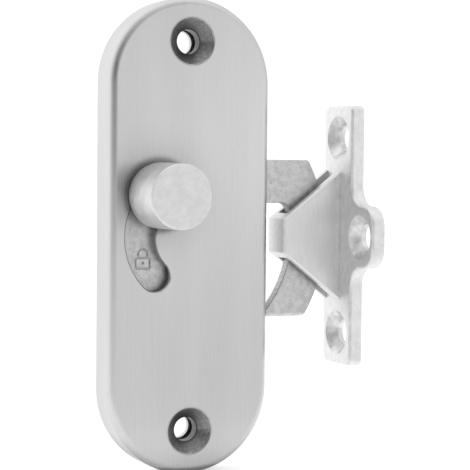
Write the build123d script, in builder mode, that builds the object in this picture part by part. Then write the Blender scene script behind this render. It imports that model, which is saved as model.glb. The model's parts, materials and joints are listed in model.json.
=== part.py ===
from build123d import *
import os
from math import asin, atan, cos, degrees, hypot, radians, sin, sqrt, tan

# Rotary hook latch for a sliding door, with its strike. Millimetres.
# The origin is on the hook's pivot axis, in the plane where the case meets the door.
# +X points to the strike, +Y into the door and +Z up, so the latch is seen from -Y.
# A "height" is a distance in front of the door, along -Y.

# ---------------------------------------------------------------- driving dimensions
# Case
case_width = 45.0
case_length = 125.0
case_depth = 10.0
sheet = 1.5                      # thickness of the pressed cover and of the back plate
edge_radius = 2.0                # rounded front edge of the cover
screw_pitch = 102.0              # between the two mounting screw holes
screw_hole_r = 3.2
screw_mouth_r = 6.15
dimple_depth = 2.8               # conical part of the mounting screw dimple
dimple_neck = 3.1                # short straight neck below the cone
mouth_round = 0.6                # pressed rounding round the dimple
neck_round = 0.5                 # rounding where the cone meets the neck
inset_gap = 0.1                  # round the back plate
back_plate_bevel = 0.2
window_gap = 0.6                 # round the hook where it leaves the case
window_top = 36.2
window_corner = 1.0

# Arc slot and knob
slot_r = 14.1                    # from the pivot to the middle of the slot
slot_width = 8.5
slot_start = 133.6               # centres of the slot's round ends, degrees from +X
slot_end = 225.0
slot_rim = 0.25                  # broken edge of the slot
knob_r = 8.35                    # at its face
knob_base_r = 8.6
knob_length = 15.45
knob_gap = 0.3                   # between the knob and the cover
knob_bevel = 0.35
knob_base_bevel = 0.3
spacer_r = 3.2

# Hook
hook_thickness = 3.0
hook_back = 3.8                  # height of its rear face
hub_r = 20.4
arm_top = 20.4
arm_bottom = 8.8
hook_inner_r = 30.8              # the claw is a ring segment round the pivot
hook_outer_r = 41.2
hook_tip = -22.0                 # the claw's flat end
claw_left = 23.3                 # the claw clears the case's side
arm_reach = 33.0
arm_corner = 1.4                 # roundings of the hook's corners, seen from the front
tip_corner = 1.8
throat_corner = 2.5              # between the arm and the claw
hub_corner = 2.0                 # between the arm and the hub
hook_edge = 0.2                  # the outline's front edge is tumbled
tip_bevel = 0.8
notch_angle = 270.0              # the notch that holds the locked hook
notch_depth = 0.8
notch_r = 1.5
travel = 90.0                    # degrees from locked to unlocked

# Marks engraved in the hub
mark_depth = 0.25
mark_line = 0.5
lock_body = (4.4, 3.3, 0.6)      # the padlock mark: width, height and corner radius
shackle_r = 1.3
shackle_leg = 0.7
shackle_lift = 0.8               # of the open padlock
keyhole_r = 0.4
locked_mark_angle = 209.0
unlocked_mark_angle = 65.0

# Pivot and bearing
pin_r = 4.0
tenon_r = 3.0
running_gap = 0.03
assembly_gap = 0.02
bush_r = 5.5
washer_r = 9.0
spring_washer_r = 9.5
spring_washer_sheet = 0.5
washer_bore_r = 4.3
thrust_gap = 0.05                # beside each part that the hub slides on
pin_end_gap = 0.2
pin_chamfer = 0.4

# Fasteners
post_r = 3.0
post_x = 14.5
post_z = 43.0
m3_r = 1.5
m3_head_r = 2.7
m3_length = 6.0
m4_r = 2.0
m4_head_r = 3.75
m4_length = 14.0
sink_angle = 90.0                # of every countersink
m3_recess = (2.4, 0.6, 0.8)      # cross recess: length, width and depth
m4_recess = (3.4, 0.8, 1.2)
head_sink = 0.08                 # how far a screw head lies below its face
post_floor = 1.0
tapping_depth = 1.5              # the knob's hole goes this much deeper than its screw

# Detent spring
leaf_sheet = 0.5
leaf_width = 2.8
leaf_post_x = 12.5
leaf_post_z = -26.5
leaf_post_r = 1.5
leaf_collar_r = 2.3
leaf_tenon_r = 1.25
leaf_post_proud = 0.6            # the posts stand this much above the leaf
leaf_eye_turn = 250.0
leaf_foot_x = 3.2
leaf_foot_z = -22.9
leaf_peak_z = -19.5              # where the two flanks of the bump would meet
leaf_end_x = 15.0
leaf_bend_r = 1.0

# Strike
bar_x = 43.5
bar_thickness = 4.0
bar_width = 15.6
bar_length = 70.2
bar_middle = 9.3                 # height of the bar's middle line
bar_corner = 1.8
strike_pitch = 53.0
strike_hole_r = 3.5
strike_mouth_r = 6.0
ear_height = 21.9                # height of the ear's hole
ear_end = 29.0
ear_half_width = 8.3
ear_corner = 5.5
ear_blend = 5.5
strike_edge = 0.7
loop_x = 26.5
loop_wall = 2.0
loop_half_left = 4.5
loop_half_right = 17.7
loop_front = 11.0                # height of the front plate's outer face
loop_front_plate = 2.2
loop_rear_plate = 1.9
loop_bevel = 0.5

match = 0.01                     # how closely a selected edge or face must lie

# ---------------------------------------------------------------- derived dimensions
case_r = case_width / 2
end_z = case_length / 2 - case_r             # centre of each round end
ceiling = case_depth - sheet                 # inside of the cover's front wall
hook_front = hook_back + hook_thickness
hook_middle = hook_back + hook_thickness / 2
bar_rear = bar_middle - bar_width / 2
bar_front = bar_middle + bar_width / 2
knob_base = case_depth + knob_gap
window_bottom = arm_bottom - window_gap
stop_swing = degrees(2 * asin((slot_width / 2 - spacer_r - running_gap) / (2 * slot_r)))
knob_angle = slot_start - stop_swing         # the spacer rests on the end of the slot
leaf_base = hook_middle - leaf_width / 2
# the leaf passes over both posts at this distance from their axes, just clear of them
leaf_eye_r = leaf_post_r + leaf_sheet / 2 + thrust_gap
leaf_run = leaf_post_x - leaf_foot_x
leaf_rise = leaf_foot_z - leaf_post_z
leaf_slope = degrees(atan(leaf_rise / leaf_run) - asin(leaf_eye_r / hypot(leaf_rise, leaf_run)))


def front_plane(height):
    """A sketch plane parallel to the door, seen from the front."""
    return Plane.XZ.offset(height)


def around_pivot(radius, angle):
    """A point of the front view, from its distance and direction from the pivot."""
    return (radius * cos(radians(angle)), radius * sin(radians(angle)))


def rear_plane(x, z, height):
    """A plane parallel to the door that faces it, for holes sunk from behind."""
    return Plane((x, -height, z), x_dir=(1, 0, 0), z_dir=(0, 1, 0))


def turn(place, points, mode=Mode.ADD):
    """Turns a profile of (radius, height) points round an axis that stands on the door."""
    x, z = place
    with BuildSketch(Plane((x, 0, z), x_dir=(1, 0, 0), z_dir=(0, 0, 1))) as profile:
        with BuildLine():
            Polyline(*[(radius, -height) for radius, height in points], close=True)
        make_face()
    revolve(profile.sketch, axis=Axis((x, 0, z), (0, -1, 0)), mode=mode)


def countersunk_screw(place, face, radius, head_r, length, recess):
    """A screw whose head lies just below a face at the given height and faces the door."""
    head = face + head_sink
    turn(place, [
        (0, head),
        (head_r - head_sink - assembly_gap, head),
        (radius, face + head_r - radius - assembly_gap),
        (radius, face + length),
        (0, face + length),
    ])
    recess_length, recess_width, recess_depth = recess
    with BuildSketch(front_plane(head)) as cross:
        with Locations(place):
            Rectangle(recess_length, recess_width)
            Rectangle(recess_width, recess_length)
    extrude(cross.sketch, amount=recess_depth, mode=Mode.SUBTRACT)


def padlock(place, turned, lift):
    """A padlock in outline. Its shackle is lifted out of the body when the lock is open."""
    width, height, corner = lock_body
    top = height / 2
    with Locations(Location((*place, 0), (0, 0, turned))):
        with Locations((0, top + shackle_leg + lift)):
            Circle(shackle_r + mark_line / 2)
            Circle(shackle_r - mark_line / 2, mode=Mode.SUBTRACT)
            Rectangle(width, width, align=(Align.CENTER, Align.MAX), mode=Mode.SUBTRACT)
        for side, bottom in ((-1, top), (1, top + lift)):
            with Locations((side * shackle_r, bottom)):
                leg = top + shackle_leg + lift - bottom
                Rectangle(mark_line, leg, align=(Align.CENTER, Align.MIN))
        RectangleRounded(width, height, corner)
        RectangleRounded(
            width - 2 * mark_line, height - 2 * mark_line, corner / 2, mode=Mode.SUBTRACT
        )
        Circle(keyhole_r)


def save(piece, name):
    """Names the piece and writes it."""
    piece.part.label = name
    export_step(piece.part, f"parts/{name}.step")


knob_x, knob_z = around_pivot(slot_r, knob_angle)
pivot = (0, 0)
leaf_post_places = [(-leaf_post_x, leaf_post_z), (leaf_post_x, leaf_post_z)]
strike_holes = [(bar_middle, -strike_pitch / 2), (bar_middle, strike_pitch / 2), (ear_height, 0)]
# corners of the hook that are rounded: where, and by how much
hook_corners = [
    ((sqrt(hook_outer_r**2 - arm_top**2), arm_top), arm_corner),
    ((sqrt(hook_outer_r**2 - hook_tip**2), hook_tip), tip_corner),
    ((sqrt(hook_inner_r**2 - arm_bottom**2), arm_bottom), throat_corner),
    ((sqrt(hub_r**2 - arm_bottom**2), arm_bottom), hub_corner),
]
# the same for the strike's bar and ear: height, distance from the middle, radius
strike_corners = [
    (bar_rear, bar_length / 2, bar_corner),
    (bar_front, bar_length / 2, bar_corner),
    (ear_end, ear_half_width, ear_corner),
    (bar_front, ear_half_width, ear_blend),
]
post_places = [(x, z) for x in (-post_x, post_x) for z in (-post_z, post_z)]
mount_places = [(0, -screw_pitch / 2), (0, screw_pitch / 2)]
os.makedirs("parts", exist_ok=True)

# ---------------------------------------------------------------- case cover
# A pressed shell, open at the back. Each mounting hole is a dimple with a straight neck.
with BuildPart() as case_cover:
    with BuildSketch(front_plane(0)):
        SlotOverall(case_length, case_width, rotation=90)
    extrude(amount=case_depth)
    fillet(case_cover.faces().sort_by(Axis.Y)[0].outer_wire().edges(), edge_radius)
    with BuildSketch(front_plane(0)):
        SlotOverall(case_length - 2 * sheet, case_width - 2 * sheet, rotation=90)
    extrude(amount=ceiling, mode=Mode.SUBTRACT)
    # the dimples: solid cones first, then their holes
    neck_end = case_depth - dimple_depth - dimple_neck
    for place in mount_places:
        turn(place, [
            (0, neck_end),
            (screw_hole_r + sheet, neck_end),
            (screw_hole_r + sheet, neck_end + dimple_neck),
            (screw_mouth_r + sheet, ceiling),
            (0, ceiling),
        ])
        turn(place, [
            (0, neck_end),
            (screw_hole_r, neck_end),
            (screw_hole_r, neck_end + dimple_neck),
            (screw_mouth_r, case_depth),
            (0, case_depth),
        ], mode=Mode.SUBTRACT)
    circles = case_cover.edges().filter_by(GeomType.CIRCLE)
    for radius, height, rounding in (
        (screw_mouth_r, case_depth, mouth_round),
        (screw_hole_r, neck_end + dimple_neck, neck_round),
    ):
        rims = circles.filter_by(
            lambda edge: abs(edge.radius - radius) < match and abs(edge.center().Y + height) < match
        )
        fillet(rims, rounding)
    # the arc slot
    with BuildSketch(front_plane(ceiling)):
        Circle(slot_r + slot_width / 2)
        Circle(slot_r - slot_width / 2, mode=Mode.SUBTRACT)
        with BuildLine():
            Polyline(
                pivot,
                around_pivot(case_width, slot_start),
                around_pivot(case_width, slot_end),
                close=True,
            )
        make_face(mode=Mode.INTERSECT)
        with Locations(around_pivot(slot_r, slot_start), around_pivot(slot_r, slot_end)):
            Circle(slot_width / 2)
    extrude(amount=sheet, mode=Mode.SUBTRACT)
    rim = case_cover.faces().filter_by(Axis.Y).sort_by(Axis.Y)[0].inner_wires().sort_by(
        lambda wire: wire.length
    )[-1]
    chamfer(rim.edges(), slot_rim)
    # the window in the side wall, where the hook comes out
    with BuildSketch(Plane.YZ):
        with Locations((-hook_middle, (window_bottom + window_top) / 2)):
            RectangleRounded(hook_thickness + 2 * window_gap, window_top - window_bottom, window_corner)
    extrude(amount=case_width, mode=Mode.SUBTRACT)
save(case_cover, "case_cover")

# ---------------------------------------------------------------- back plate
# An inset plate, flush with the cover's rear rim. It carries the pivot and the spring posts.
with BuildPart() as back_plate:
    with BuildSketch(front_plane(0)):
        SlotOverall(
            case_length - 2 * (sheet + inset_gap), case_width - 2 * (sheet + inset_gap), rotation=90
        )
        with Locations(*mount_places):
            Circle(screw_hole_r, mode=Mode.SUBTRACT)
        with Locations(*leaf_post_places):
            Circle(leaf_tenon_r + assembly_gap, mode=Mode.SUBTRACT)
        Circle(tenon_r + assembly_gap, mode=Mode.SUBTRACT)
    extrude(amount=sheet)
    chamfer(back_plate.faces().sort_by(Axis.Y)[-1].outer_wire().edges(), back_plate_bevel)
    with Locations(*[rear_plane(x, z, 0) for x, z in post_places]):
        CounterSinkHole(m3_r + assembly_gap, m3_head_r, depth=sheet, counter_sink_angle=sink_angle)
save(back_plate, "back_plate")

# ---------------------------------------------------------------- cover posts
# Four tapped posts, welded to the inside of the cover.
with BuildPart() as cover_posts:
    with BuildSketch(front_plane(sheet)):
        with Locations(*post_places):
            Circle(post_r)
    extrude(amount=ceiling - sheet)
    with BuildSketch(front_plane(sheet)):
        with Locations(*post_places):
            Circle(m3_r + assembly_gap)
    extrude(amount=ceiling - sheet - post_floor, mode=Mode.SUBTRACT)
save(cover_posts, "cover_posts")

# ---------------------------------------------------------------- back plate screws
# Four M3 countersunk screws with cross recesses.
with BuildPart() as back_plate_screws:
    for place in post_places:
        countersunk_screw(place, 0, m3_r, m3_head_r, m3_length, m3_recess)
save(back_plate_screws, "back_plate_screws")

# ---------------------------------------------------------------- pivot pin
# A shouldered stud, riveted flush into the back plate.
with BuildPart() as pivot_pin:
    with BuildSketch(front_plane(0)):
        Circle(tenon_r)
    extrude(amount=sheet)
    with BuildSketch(front_plane(sheet)):
        Circle(pin_r)
    extrude(amount=ceiling - sheet - pin_end_gap)
    chamfer(pivot_pin.faces().sort_by(Axis.Y)[0].edges(), pin_chamfer)
save(pivot_pin, "pivot_pin")

# ---------------------------------------------------------------- pivot bush
# A plain sleeve, pressed into the hub. It turns on the pin.
with BuildPart() as pivot_bush:
    with BuildSketch(front_plane(hook_back)):
        Circle(bush_r)
        Circle(pin_r + running_gap, mode=Mode.SUBTRACT)
    extrude(amount=hook_thickness)
save(pivot_bush, "pivot_bush")

# ---------------------------------------------------------------- front washer
# The thrust washer between the hub and the cover.
with BuildPart() as front_washer:
    with BuildSketch(front_plane(hook_front + thrust_gap)):
        Circle(washer_r)
        Circle(washer_bore_r, mode=Mode.SUBTRACT)
    extrude(amount=ceiling - hook_front - thrust_gap)
save(front_washer, "front_washer")

# ---------------------------------------------------------------- disc spring
# A conical spring washer: its rim bears on the back plate and its bore on the hub.
with BuildPart() as disc_spring:
    turn(pivot, [
        (spring_washer_r, sheet + thrust_gap),
        (spring_washer_r, sheet + thrust_gap + spring_washer_sheet),
        (washer_bore_r, hook_back - thrust_gap),
        (washer_bore_r, hook_back - thrust_gap - spring_washer_sheet),
    ])
save(disc_spring, "disc_spring")

# ---------------------------------------------------------------- hook
# Flat steel: a round hub, an arm out through the window and a claw that is a ring segment.
with BuildPart() as hook:
    with BuildSketch(front_plane(hook_back)) as hook_outline:
        Circle(hook_outer_r)
        Circle(hook_inner_r, mode=Mode.SUBTRACT)
        with Locations(((claw_left + hook_outer_r) / 2, (arm_top + hook_tip) / 2)):
            Rectangle(hook_outer_r - claw_left, arm_top - hook_tip, mode=Mode.INTERSECT)
        with Locations((arm_reach / 2, (arm_top + arm_bottom) / 2)):
            Rectangle(arm_reach, arm_top - arm_bottom)
        Circle(hub_r)
        for corner, radius in hook_corners:
            fillet(hook_outline.vertices().sort_by_distance(corner)[0], radius)
        for angle in (notch_angle, notch_angle - travel):
            with Locations(around_pivot(hub_r - notch_depth + notch_r, angle)):
                Circle(notch_r, mode=Mode.SUBTRACT)
        Circle(bush_r + assembly_gap, mode=Mode.SUBTRACT)
    extrude(amount=hook_thickness)
    chamfer(hook.faces().sort_by(Axis.Y)[0].outer_wire().edges(), hook_edge)
    # the claw's end is bevelled, to lead it into the strike
    with BuildSketch(Plane.YZ):
        for face, inward in ((-hook_front, tip_bevel), (-hook_back, -tip_bevel)):
            with BuildLine():
                Polyline(
                    (face, hook_tip),
                    (face, hook_tip + tip_bevel),
                    (face + inward, hook_tip),
                    close=True,
                )
            make_face()
    extrude(amount=hook_outer_r, mode=Mode.SUBTRACT)
    with Locations(rear_plane(knob_x, knob_z, hook_back)):
        CounterSinkHole(m4_r + assembly_gap, m4_head_r, depth=hook_thickness, counter_sink_angle=sink_angle)
    with BuildSketch(front_plane(hook_front)):
        padlock(around_pivot(slot_r, locked_mark_angle), 0, 0)
        padlock(around_pivot(slot_r, unlocked_mark_angle), -travel, shackle_lift)
    extrude(amount=-mark_depth, mode=Mode.SUBTRACT)
save(hook, "hook")

# ---------------------------------------------------------------- knob spacer
# The tube that runs in the arc slot. It stops on the slot's end when the hook is locked.
with BuildPart() as knob_spacer:
    with BuildSketch(front_plane(hook_front)):
        with Locations((knob_x, knob_z)):
            Circle(spacer_r)
            Circle(m4_r + assembly_gap, mode=Mode.SUBTRACT)
    extrude(amount=knob_base - hook_front)
save(knob_spacer, "knob_spacer")

# ---------------------------------------------------------------- knob
# Turned, slightly tapered, with a tapped hole from behind.
with BuildPart() as knob:
    knob_face = knob_base + knob_length
    turn((knob_x, knob_z), [
        (0, knob_base),
        (knob_base_r - knob_base_bevel, knob_base),
        (knob_base_r, knob_base + knob_base_bevel),
        (knob_r, knob_face - knob_bevel),
        (knob_r - knob_bevel, knob_face),
        (0, knob_face),
    ])
    with BuildSketch(front_plane(knob_base)):
        with Locations((knob_x, knob_z)):
            Circle(m4_r + assembly_gap)
    extrude(amount=m4_length + hook_back - knob_base + tapping_depth, mode=Mode.SUBTRACT)
save(knob, "knob")

# ---------------------------------------------------------------- knob screw
# M4 countersunk, through the hub and the spacer into the knob.
with BuildPart() as knob_screw:
    countersunk_screw((knob_x, knob_z), hook_back, m4_r, m4_head_r, m4_length, m4_recess)
save(knob_screw, "knob_screw")

# ---------------------------------------------------------------- spring posts
# Two posts riveted into the back plate. The collar holds the leaf level with the hub.
with BuildPart() as spring_posts:
    for height, radius, length in (
        (0, leaf_tenon_r, sheet),
        (sheet, leaf_collar_r, leaf_base - sheet - thrust_gap),
        (leaf_base - thrust_gap, leaf_post_r, leaf_width + leaf_post_proud),
    ):
        with BuildSketch(front_plane(height)):
            with Locations(*leaf_post_places):
                Circle(radius)
        extrude(amount=length)
save(spring_posts, "spring_posts")

# ---------------------------------------------------------------- detent spring
# A bent leaf: an eye round the left post, a bump in the hub's notch, a free end on the right post.
with BuildPart() as detent_spring:
    with BuildSketch(front_plane(leaf_base)):
        with BuildLine():
            eye = CenterArc(
                (-leaf_post_x, leaf_post_z), leaf_eye_r, 90 + leaf_slope, leaf_eye_turn
            )
            FilletPolyline(
                eye @ 0,
                (-leaf_foot_x, leaf_foot_z),
                (0, leaf_peak_z),
                (leaf_foot_x, leaf_foot_z),
                (leaf_end_x, leaf_foot_z - (leaf_end_x - leaf_foot_x) * tan(radians(leaf_slope))),
                radius=leaf_bend_r,
            )
        trace(line_width=leaf_sheet)
    extrude(amount=leaf_width)
save(detent_spring, "detent_spring")

# ---------------------------------------------------------------- strike
# One casting: a bar with an ear for the jamb, and a loop of two plates that the claw passes between.
with BuildPart() as strike:
    with BuildSketch(Plane.YZ.offset(bar_x)) as bar_outline:
        with Locations((-bar_middle, 0)):
            Rectangle(bar_width, bar_length)
        with Locations((-ear_end, 0)):
            Rectangle(ear_end - bar_middle, 2 * ear_half_width, align=(Align.MIN, Align.CENTER))
        for height, half, radius in strike_corners:
            for corner in ((-height, half), (-height, -half)):
                fillet(bar_outline.vertices().sort_by_distance(corner)[0], radius)
    extrude(amount=bar_thickness)
    fillet(strike.edges().filter_by(Plane.YZ), strike_edge)
    # the loop: a trapezium block, with the gap for the hook cut through it
    with BuildSketch(front_plane(bar_rear)):
        with BuildLine():
            Polyline(
                (loop_x, loop_half_left),
                (bar_x, loop_half_right),
                (bar_x + bar_thickness / 2, loop_half_right),
                (bar_x + bar_thickness / 2, -loop_half_right),
                (bar_x, -loop_half_right),
                (loop_x, -loop_half_left),
                close=True,
            )
        make_face()
    extrude(amount=loop_front - bar_rear)
    loop_face = strike.faces().filter_by(Axis.Y).filter_by(
        lambda face: abs(face.center().Y + loop_front) < match
    )
    chamfer(loop_face.edges().filter_by(lambda edge: edge.center().X < bar_x - match), loop_bevel)
    with BuildSketch(front_plane(bar_rear + loop_rear_plate)):
        with Locations(((loop_x + loop_wall + bar_x) / 2, 0)):
            Rectangle(bar_x - loop_x - loop_wall, bar_length)
    extrude(amount=loop_front - loop_front_plate - bar_rear - loop_rear_plate, mode=Mode.SUBTRACT)
    # the three countersunk screw holes open towards the case
    with Locations(*[
        Plane((bar_x, -height, z), x_dir=(0, 1, 0), z_dir=(-1, 0, 0)) for height, z in strike_holes
    ]):
        CounterSinkHole(strike_hole_r, strike_mouth_r, depth=bar_thickness, counter_sink_angle=sink_angle)
save(strike, "strike")
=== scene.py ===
import json
from math import radians

import bpy
from mathutils import Matrix, Vector


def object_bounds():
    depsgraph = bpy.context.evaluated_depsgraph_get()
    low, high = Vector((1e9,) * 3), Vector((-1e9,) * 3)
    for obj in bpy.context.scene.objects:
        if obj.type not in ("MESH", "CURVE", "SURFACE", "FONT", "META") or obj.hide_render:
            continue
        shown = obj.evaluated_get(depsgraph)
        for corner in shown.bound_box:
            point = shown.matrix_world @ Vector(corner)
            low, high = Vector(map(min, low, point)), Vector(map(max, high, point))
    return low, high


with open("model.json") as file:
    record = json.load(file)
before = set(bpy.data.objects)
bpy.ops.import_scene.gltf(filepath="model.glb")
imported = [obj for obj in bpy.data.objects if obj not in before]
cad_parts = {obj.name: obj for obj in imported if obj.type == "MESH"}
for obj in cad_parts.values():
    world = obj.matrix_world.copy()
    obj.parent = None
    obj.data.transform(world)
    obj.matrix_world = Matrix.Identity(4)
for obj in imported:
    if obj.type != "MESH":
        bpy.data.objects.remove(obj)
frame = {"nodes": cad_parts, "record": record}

# Looks, light and camera for the rotary hook latch. Metres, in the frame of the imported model.
# The latch is seen from -Y, and +Z is up.

MM = 0.001
WHITE = (1.0, 1.0, 1.0, 1.0)
BEVEL_SAMPLES = 6
OCCLUSION_SAMPLES = 8
WIDE = (0.3, 0.7)                    # nearly all of a noise pattern lies in this band
MIDDLE = (0.35, 0.65)                # most of it lies in this one
TABLE_HALF = 6.0                     # half the floor's width
TABLE_GAP = 0.1 * MM                 # below the latch
TABLE_FADE = 60 * MM                 # in front of the latch the floor's glow fades over this depth
PLATE_FADE = (5.9, 4.9)              # the loop's brushed plates end this far before the jamb, in mm
SENSOR = 36.0                        # camera sensor width in mm, which the lens is given for
NEAR_CLIP = 0.01

cad_low, cad_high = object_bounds()
centre = (cad_low + cad_high) / 2


# ---------------------------------------------------------------- node helpers
class Look:
    """A material that is built up from noise patterns in the object's own coordinates."""

    def __init__(self, name, roughness, anisotropic=0.0, metallic=1.0):
        self.material = bpy.data.materials.new(name)
        self.material.use_nodes = True
        self.nodes = self.material.node_tree.nodes
        self.links = self.material.node_tree.links
        self.shader = self.nodes["Principled BSDF"]
        self.shader.inputs["Metallic"].default_value = metallic
        self.shader.inputs["Roughness"].default_value = roughness
        self.shader.inputs["Anisotropic"].default_value = anisotropic
        self.place = self.nodes.new("ShaderNodeTexCoord")

    def link(self, output, target):
        self.links.new(output, target)

    def math(self, operation, a, b=0.0, clamp=False):
        """One sum of two sockets or numbers."""
        node = self.nodes.new("ShaderNodeMath")
        node.operation = operation
        node.use_clamp = clamp
        for socket, value in zip(node.inputs, (a, b)):
            if isinstance(value, (int, float)):
                socket.default_value = value
            else:
                self.link(value, socket)
        return node.outputs[0]

    def spread(self, value, band, target=(0.0, 1.0)):
        """Maps the band to the target band and holds the ends."""
        node = self.nodes.new("ShaderNodeMapRange")
        for name, number in zip(("From Min", "From Max", "To Min", "To Max"), (*band, *target)):
            node.inputs[name].default_value = number
        self.link(value, node.inputs["Value"])
        return node.outputs["Result"]

    def weighted(self, *parts):
        """The sum of patterns, each times its weight."""
        total = None
        for pattern, weight in parts:
            term = self.math("MULTIPLY", pattern, weight)
            total = self.math("ADD", total, term) if total else term
        return total

    def lift(self, share, pattern, weight):
        """Raises a share by a weighted pattern and keeps it within 0..1."""
        return self.math("ADD", share, self.math("MULTIPLY", pattern, weight), clamp=True)

    def lower(self, share, pattern, weight):
        """Lowers a share by a weighted pattern and keeps it within 0..1."""
        return self.math("SUBTRACT", share, self.math("MULTIPLY", pattern, weight), clamp=True)

    def inverse(self, share):
        return self.math("SUBTRACT", 1.0, share)

    def noise(self, grain, detail=3.0, turn=(0, 0, 0), distortion=0.0):
        """Noise whose grains measure about grain (x, y, z) in millimetres, turned by degrees."""
        mapping = self.nodes.new("ShaderNodeMapping")
        mapping.vector_type = "TEXTURE"
        mapping.inputs["Scale"].default_value = [size * MM for size in grain]
        mapping.inputs["Rotation"].default_value = [radians(angle) for angle in turn]
        self.link(self.place.outputs["Object"], mapping.inputs["Vector"])
        noise = self.nodes.new("ShaderNodeTexNoise")
        noise.inputs["Scale"].default_value = 1.0
        noise.inputs["Detail"].default_value = detail
        noise.inputs["Distortion"].default_value = distortion
        self.link(mapping.outputs["Vector"], noise.inputs["Vector"])
        return noise.outputs[0]

    def part_of(self, vector, axis):
        """One component of the object's own position or normal."""
        parts = self.nodes.new("ShaderNodeSeparateXYZ")
        self.link(self.place.outputs[vector], parts.inputs[0])
        return parts.outputs[axis]

    def facing(self, axis, band):
        """1 where the surface's own normal lies along the axis, 0 where it stands across it."""
        return self.spread(self.math("ABSOLUTE", self.part_of("Normal", axis)), band)

    def blend(self, share, a, b):
        """a where share is 0 and b where it is 1; both are sockets or numbers."""
        node = self.nodes.new("ShaderNodeMix")
        node.data_type = "FLOAT"
        self.link(share, node.inputs[0])
        for socket, value in ((node.inputs[2], a), (node.inputs[3], b)):
            if isinstance(value, (int, float)):
                socket.default_value = value
            else:
                self.link(value, socket)
        return node.outputs[0]

    def vector(self, operation, first, second=None):
        """A vector node; the second vector is a socket or a fixed one."""
        node = self.nodes.new("ShaderNodeVectorMath")
        node.operation = operation
        self.link(first, node.inputs[0])
        if isinstance(second, bpy.types.NodeSocket):
            self.link(second, node.inputs[1])
        elif second is not None:
            node.inputs[1].default_value = second
        return node.outputs

    def bevel(self, radius):
        """The normal with sharp edges rounded over a radius in millimetres."""
        node = self.nodes.new("ShaderNodeBevel")
        node.samples = BEVEL_SAMPLES
        node.inputs["Radius"].default_value = radius * MM
        return node.outputs["Normal"]

    def edges(self, radius, band=(0.02, 0.25)):
        """1 on sharp edges over about radius millimetres, and 0 elsewhere; colour lifted by it is partly
        rubbed wear and partly painted highlight.
        """
        geometry = self.nodes.new("ShaderNodeNewGeometry")
        dot = self.vector("DOT_PRODUCT", self.bevel(radius), geometry.outputs["Normal"])
        return self.spread(self.inverse(dot["Value"]), band)

    def near_holes(self, mounts, inner, outer):
        """1 round the axes of the mounts' holes, falling to 0 between two radii in millimetres."""
        nearest = None
        for place, axis in hole_axes(mounts):
            offset = self.vector("SUBTRACT", self.place.outputs["Object"], place)
            across = self.vector("CROSS_PRODUCT", offset["Vector"], axis)
            distance = self.vector("LENGTH", across["Vector"])["Value"]
            nearest = self.math("MINIMUM", nearest, distance) if nearest else distance
        return self.spread(nearest, (inner * MM, outer * MM), (1.0, 0.0))

    def painted_recess_shade(self, distance, band):
        """Painted shade: 0 in the open and 1 deep in corners, holes and engraved lines, from ambient
        occlusion.
        """
        node = self.nodes.new("ShaderNodeAmbientOcclusion")
        node.samples = OCCLUSION_SAMPLES
        node.inputs["Distance"].default_value = distance * MM
        return self.spread(node.outputs["AO"], band, (1.0, 0.0))

    def colour(self, dark, light, share):
        """Base colour between two greys (or tints), by share."""
        node = self.nodes.new("ShaderNodeMix")
        node.data_type = "RGBA"
        node.inputs[6].default_value = (*dark, 1.0)
        node.inputs[7].default_value = (*light, 1.0)
        self.link(share, node.inputs[0])
        self.link(node.outputs[2], self.shader.inputs["Base Color"])

    def roughness(self, value):
        self.link(value, self.shader.inputs["Roughness"])

    def bump(self, heights, edge_radius=0.12):
        """Rounds sharp edges and adds relief: pairs of a height pattern and its depth in mm."""
        normal = self.bevel(edge_radius)
        for height, depth in heights:
            node = self.nodes.new("ShaderNodeBump")
            node.inputs["Distance"].default_value = depth * MM
            self.link(height, node.inputs["Height"])
            self.link(normal, node.inputs["Normal"])
            normal = node.outputs["Normal"]
        self.link(normal, self.shader.inputs["Normal"])

    def grain_along(self, axis):
        """Brushing along an axis: reflections smear across it."""
        tangent = self.nodes.new("ShaderNodeTangent")
        tangent.direction_type = "RADIAL"
        tangent.axis = axis
        self.link(tangent.outputs["Tangent"], self.shader.inputs["Tangent"])


MOUNTS = {mount["name"]: mount for mount in frame["record"]["mounts"]}


def hole_axes(names):
    """Middle and direction of every screw hole of the named mounts."""
    axes = []
    for name in names:
        mount = MOUNTS[name]
        half = mount["dims"].get("spacing_y_mm", 0.0) / 2 * MM
        for side in ((-1, 1) if half else (0,)):
            axes.append((Vector(mount["pos_m"]) + Vector((0, 0, side * half)), mount["axis"]))
    return axes


def grey(level, warmth=0.0):
    """A metal's reflectance, slightly warm or cool."""
    return (level * (1 + warmth), level, level * (1 - warmth))


# ---------------------------------------------------------------- materials
def case_steel():
    """Stainless sheet, brushed vertically: long fine lines, wider streaks and soft zones."""
    look = Look("case_steel", 0.3, anisotropic=0.6)
    look.grain_along("Z")
    lines = look.noise((0.1, 0.1, 9.0), detail=2.0)
    streaks = look.noise((0.5, 0.5, 60.0), detail=2.0)
    zones = look.noise((13.0, 13.0, 60.0), detail=1.0)
    share = look.weighted((lines, 0.3), (streaks, 0.25), (zones, 0.45))
    share = look.spread(share, MIDDLE, (0.76, 0.92))
    # sharp edges lighter: partly rubbed wear, partly painted highlight
    share = look.lift(share, look.edges(0.25), 0.15)
    # the pressed dimples aren't brushed: mottled and ringed by the punch, and darker as painted shade
    dimple = look.near_holes(["case_screws"], 5.9, 6.6)
    dimple_shade = look.spread(look.noise((0.9, 0.2, 0.9), detail=4.0), MIDDLE, (0.1, 0.42))
    share = look.blend(dimple, share, dimple_shade)
    # painted shade: darker close to the knob, in the slot and in the dimples, and softly around them
    for distance, weight in ((2.5, 1.3), (12.0, 0.5)):
        share = look.lower(share, look.painted_recess_shade(distance, (0.4, 0.95)), weight)
    look.colour(grey(0.17), grey(0.7), share)
    smooth = look.spread(streaks, WIDE, (0.26, 0.32))
    look.roughness(look.blend(dimple, smooth, 0.4))
    look.bump([(lines, 0.0015), (streaks, 0.001)])
    return look.material


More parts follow.
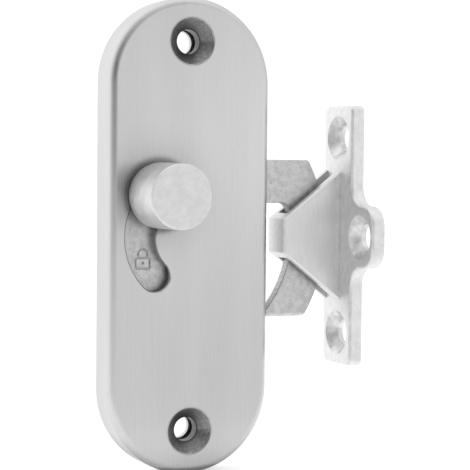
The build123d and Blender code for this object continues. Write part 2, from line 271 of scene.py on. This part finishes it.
def plated_sheet():
    """Zinc plated sheet: a faint cloudy bloom and rolling lines."""
    look = Look("plated_sheet", 0.4)
    cloud = look.noise((4.0, 4.0, 5.0), detail=5.0, distortion=0.4)
    rolled = look.noise((0.4, 0.4, 30.0), detail=2.0)
    share = look.blend(look.spread(rolled, WIDE, (0.2, 0.5)), cloud, rolled)
    look.colour(grey(0.52, -0.01), grey(0.64, -0.01), look.spread(share, WIDE))
    look.roughness(look.spread(cloud, WIDE, (0.32, 0.5)))
    look.bump([(rolled, 0.003), (cloud, 0.01)])
    return look.material


def plated_fastener():
    """Zinc plated turned parts: fine rings along their axis, edges lighter as rubbed wear and painted
    highlight.
    """
    look = Look("plated_fastener", 0.3)
    rings = look.noise((6.0, 0.12, 6.0), detail=2.0)
    bloom = look.noise((0.8, 0.8, 0.8), detail=4.0)
    share = look.spread(look.weighted((rings, 0.6), (bloom, 0.4)), MIDDLE, (0.0, 0.8))
    # sharp edges lighter: partly rubbed wear, partly painted highlight
    share = look.lift(share, look.edges(0.15), 0.4)
    look.colour(grey(0.52, -0.015), grey(0.74, -0.01), share)
    look.roughness(look.spread(bloom, WIDE, (0.22, 0.38)))
    look.bump([(rings, 0.003), (bloom, 0.004)], edge_radius=0.06)
    return look.material


def bearing_plastic():
    """Natural acetal: milky, faintly mottled, with fine turning marks."""
    look = Look("bearing_plastic", 0.45, metallic=0.0)
    look.shader.inputs["Subsurface Weight"].default_value = 0.15
    look.shader.inputs["Subsurface Scale"].default_value = 0.5 * MM
    mottle = look.noise((1.2, 1.2, 1.2), detail=4.0)
    turned = look.noise((3.0, 0.1, 3.0), detail=2.0)
    look.colour((0.74, 0.72, 0.66), (0.84, 0.83, 0.78), look.spread(mottle, MIDDLE))
    look.roughness(look.spread(turned, WIDE, (0.38, 0.52)))
    look.bump([(turned, 0.004), (mottle, 0.006)], edge_radius=0.1)
    return look.material


def spring_steel():
    """Hardened strip: dark, oiled, drawn along the length, with edges lighter as rubbed wear and painted
    highlight.
    """
    look = Look("spring_steel", 0.3)
    temper = look.noise((2.5, 2.5, 2.5), detail=4.0, distortion=0.6)
    drawn = look.noise((4.0, 0.15, 0.6), detail=2.0)
    # sharp edges lighter: partly rubbed wear, partly painted highlight
    share = look.lift(look.spread(temper, MIDDLE, (0.0, 0.7)), look.edges(0.1), 0.5)
    look.colour(grey(0.2, -0.03), grey(0.44, -0.01), share)
    look.roughness(look.spread(temper, WIDE, (0.22, 0.4)))
    look.bump([(drawn, 0.003), (temper, 0.004)], edge_radius=0.06)
    return look.material


def hook_steel():
    """Pressed plate, tumbled and plated: mottled faces with small pits, torn lines on sheared edges."""
    look = Look("hook_steel", 0.42, metallic=0.85)
    face = look.facing("Y", (0.3, 0.6))
    mottle = look.noise((1.6, 1.6, 1.6), detail=5.0)
    fine = look.noise((0.22, 0.22, 0.22), detail=3.0)
    specks = look.spread(look.noise((0.45, 0.45, 0.45), detail=1.0), (0.66, 0.72))
    sheared = look.noise((0.25, 4.0, 0.25), detail=3.0)
    share = look.blend(face, sheared, look.weighted((mottle, 0.6), (fine, 0.4)))
    share = look.spread(share, (0.39, 0.61), (0.5, 0.95))
    # sharp edges lighter: partly rubbed wear, partly painted highlight
    share = look.weighted((share, 1.0), (look.edges(0.25), 0.15))
    share = look.lower(share, specks, 0.75)
    # painted shade: darker in corners, holes and engraved marks
    share = look.lower(share, look.painted_recess_shade(0.8, (0.4, 0.95)), 0.7)
    look.colour(grey(0.3), grey(0.73), share)
    look.roughness(look.blend(face, 0.55, look.spread(mottle, WIDE, (0.36, 0.48))))
    pits = look.inverse(specks)
    tears = look.math("MULTIPLY", sheared, look.inverse(face))
    look.bump([(mottle, 0.02), (fine, 0.006), (pits, 0.03), (tears, 0.08)], edge_radius=0.15)
    return look.material


def knob_steel():
    """Turned bar: fine rings round the side, crossed scratches on the flat face."""
    look = Look("knob_steel", 0.34, metallic=0.8)
    face = look.facing("Y", (0.9, 0.97))
    rings = look.noise((9.0, 0.09, 9.0), detail=3.0)
    haze = look.noise((2.2, 2.2, 2.2), detail=4.0)
    scratches = look.noise((0.09, 1.0, 2.2), detail=2.0, turn=(0, 52, 0))
    crossed = look.noise((0.08, 1.0, 1.4), detail=2.0, turn=(0, -38, 0))
    marks = look.weighted((scratches, 0.6), (crossed, 0.4))
    share = look.weighted((look.blend(face, rings, marks), 0.6), (haze, 0.4))
    # sharp edges lighter: partly rubbed wear, partly painted highlight
    share = look.lift(look.spread(share, (0.42, 0.58), (0.15, 0.8)), look.edges(0.2), 0.4)
    look.colour(grey(0.66), grey(0.85), share)
    look.roughness(look.spread(haze, WIDE, (0.4, 0.5)))
    turned = look.math("MULTIPLY", rings, look.inverse(face))
    scored = look.math("MULTIPLY", marks, face)
    look.bump([(turned, 0.004), (scored, 0.006)], edge_radius=0.15)
    return look.material


def strike_metal():
    """A casting, satin plated: pebbled skin, soft waves, brushed plates, blotched countersinks."""
    look = Look("strike_metal", 0.4, metallic=0.9)
    skin = look.noise((0.3, 0.3, 0.3), detail=3.0)
    waves = look.noise((1.5, 1.5, 2.2), detail=4.0)
    share = look.weighted((skin, 0.45), (waves, 0.55))
    share = look.spread(share, (0.38, 0.62), (0.62, 0.84))
    # the loop's plates are brushed along the bar
    along = look.spread(look.noise((0.18, 0.18, 5.0), detail=2.0), WIDE, (0.62, 0.76))
    jamb = MOUNTS["jamb_face"]["pos_m"][0]
    ends = [jamb - distance * MM for distance in PLATE_FADE]
    plate = look.spread(look.part_of("Object", "X"), ends, (1.0, 0.0))
    plate = look.math("MULTIPLY", plate, look.facing("Y", (0.8, 0.95)))
    share = look.blend(plate, share, along)
    # the countersinks are drilled after casting, and the plating blotches there
    sink = look.near_holes(["strike_screws", "strike_ear_screw"], 5.8, 6.1)
    sink = look.math("MULTIPLY", sink, look.inverse(look.facing("X", (0.78, 0.95))))
    blotch = look.spread(look.noise((2.2, 2.2, 2.2), detail=3.0), MIDDLE, (0.45, 0.85))
    share = look.blend(sink, share, blotch)
    # painted shade: darker in corners, seams and holes
    share = look.lower(share, look.painted_recess_shade(0.8, (0.2, 0.75)), 0.6)
    look.colour(grey(0.3), grey(0.97), share)
    look.roughness(look.spread(waves, WIDE, (0.4, 0.5)))
    look.bump([(skin, 0.015), (waves, 0.03)], edge_radius=0.3)
    return look.material


LOOKS = {
    look.__name__: look()
    for look in (
        case_steel, plated_sheet, plated_fastener, bearing_plastic,
        spring_steel, hook_steel, knob_steel, strike_metal,
    )
}
for part in frame["record"]["subparts"]:
    for slot in frame["nodes"][part["node"]].material_slots:
        slot.material = LOOKS[part["material_slot"]]


# ---------------------------------------------------------------- floor and light
def floor():
    """A pale light table, so that the latch stands on white without a hard shadow."""
    mesh = bpy.data.meshes.new("floor")
    level = cad_low.z - TABLE_GAP
    signs = ((-1, -1), (1, -1), (1, 1), (-1, 1))
    corners = [(x * TABLE_HALF, y * TABLE_HALF, level) for x, y in signs]
    mesh.from_pydata(corners, [], [(0, 1, 2, 3)])
    plane = bpy.data.objects.new("floor", mesh)
    bpy.context.collection.objects.link(plane)
    material = bpy.data.materials.new("floor")
    material.use_nodes = True
    shader = material.node_tree.nodes["Principled BSDF"]
    shader.inputs["Base Color"].default_value = (0.6, 0.6, 0.6, 1.0)
    shader.inputs["Roughness"].default_value = 0.8
    shader.inputs["Specular IOR Level"].default_value = 0.0
    shader.inputs["Emission Color"].default_value = WHITE
    nodes, links = material.node_tree.nodes, material.node_tree.links
    place = nodes.new("ShaderNodeNewGeometry")
    parts = nodes.new("ShaderNodeSeparateXYZ")
    links.new(place.outputs["Position"], parts.inputs[0])
    glow = nodes.new("ShaderNodeMapRange")
    glow.interpolation_type = "SMOOTHSTEP"
    glow.inputs["From Min"].default_value = cad_low.y - TABLE_FADE
    glow.inputs["From Max"].default_value = cad_low.y
    glow.inputs["To Min"].default_value = 0.32
    glow.inputs["To Max"].default_value = 0.6
    links.new(parts.outputs["Y"], glow.inputs["Value"])
    links.new(glow.outputs["Result"], shader.inputs["Emission Strength"])
    mesh.materials.append(material)


def studio(dark_sides, bright=1.25, background=1.1):
    """White surroundings that lose light towards some sides: a direction, the loss and how narrow it is.

    The background that the camera sees stays white.
    """
    world = bpy.data.worlds.new("studio")
    bpy.context.scene.world = world
    world.use_nodes = True
    nodes, links = world.node_tree.nodes, world.node_tree.links
    place = nodes.new("ShaderNodeTexCoord")
    level = None
    for side, loss, narrow in dark_sides:
        dot = nodes.new("ShaderNodeVectorMath")
        dot.operation = "DOT_PRODUCT"
        dot.inputs[1].default_value = Vector(side).normalized()
        links.new(place.outputs["Generated"], dot.inputs[0])
        towards = nodes.new("ShaderNodeMath")
        towards.operation = "MAXIMUM"
        towards.inputs[1].default_value = 0.0
        links.new(dot.outputs["Value"], towards.inputs[0])
        share = nodes.new("ShaderNodeMath")
        share.operation = "POWER"
        share.inputs[1].default_value = narrow
        links.new(towards.outputs[0], share.inputs[0])
        lost = nodes.new("ShaderNodeMath")
        lost.operation = "MULTIPLY"
        lost.inputs[1].default_value = loss
        links.new(share.outputs[0], lost.inputs[0])
        left = nodes.new("ShaderNodeMath")
        left.operation = "SUBTRACT"
        left.inputs[0].default_value = bright
        if level:
            links.new(level, left.inputs[0])
        links.new(lost.outputs[0], left.inputs[1])
        level = left.outputs[0]
    path = nodes.new("ShaderNodeLightPath")
    seen = nodes.new("ShaderNodeMix")
    seen.data_type = "FLOAT"
    seen.inputs[3].default_value = background
    links.new(path.outputs["Is Camera Ray"], seen.inputs[0])
    links.new(level, seen.inputs[2])
    links.new(seen.outputs[0], nodes["Background"].inputs["Strength"])
    nodes["Background"].inputs["Color"].default_value = WHITE


def softbox(name, place, size, power):
    """A square area light that faces the latch."""
    light = bpy.data.lights.new(name, "AREA")
    light.size = size
    light.energy = power
    box = bpy.data.objects.new(name, light)
    bpy.context.collection.objects.link(box)
    box.location = centre + Vector(place)
    box.rotation_euler = (-Vector(place)).to_track_quat("-Z", "Y").to_euler()


floor()
# dark in front to the left, duller to the right
studio(dark_sides=(((-0.52, -0.86, 0.0), 1.15, 2.0), ((0.95, 0.3, 0.0), 0.4, 1.0)))
softbox("key", place=(0.8, -1.5, -0.3), size=1.2, power=1.2)


# ---------------------------------------------------------------- camera
def camera(aside, azimuth, elevation, roll, distance, lens):
    """Looks at a point aside from the middle (mm), from the left in front. Angles in degrees."""
    aim = centre + Vector(aside) * MM
    turn = (
        Matrix.Rotation(radians(-azimuth), 4, "Z")
        @ Matrix.Rotation(radians(90 - elevation), 4, "X")
        @ Matrix.Rotation(radians(roll), 4, "Z")
    )
    data = bpy.data.cameras.new("camera")
    data.sensor_width = SENSOR
    data.lens = lens
    data.clip_start = NEAR_CLIP
    eye = bpy.data.objects.new("camera", data)
    bpy.context.collection.objects.link(eye)
    eye.matrix_world = Matrix.Translation(aim) @ turn @ Matrix.Translation((0, 0, distance))
    bpy.context.scene.camera = eye


camera((-2.03, -0.22, 0.64), azimuth=24.415, elevation=2.644, roll=0.534, distance=0.41826, lens=122.56)
bpy.context.scene.view_settings.view_transform = "Standard"
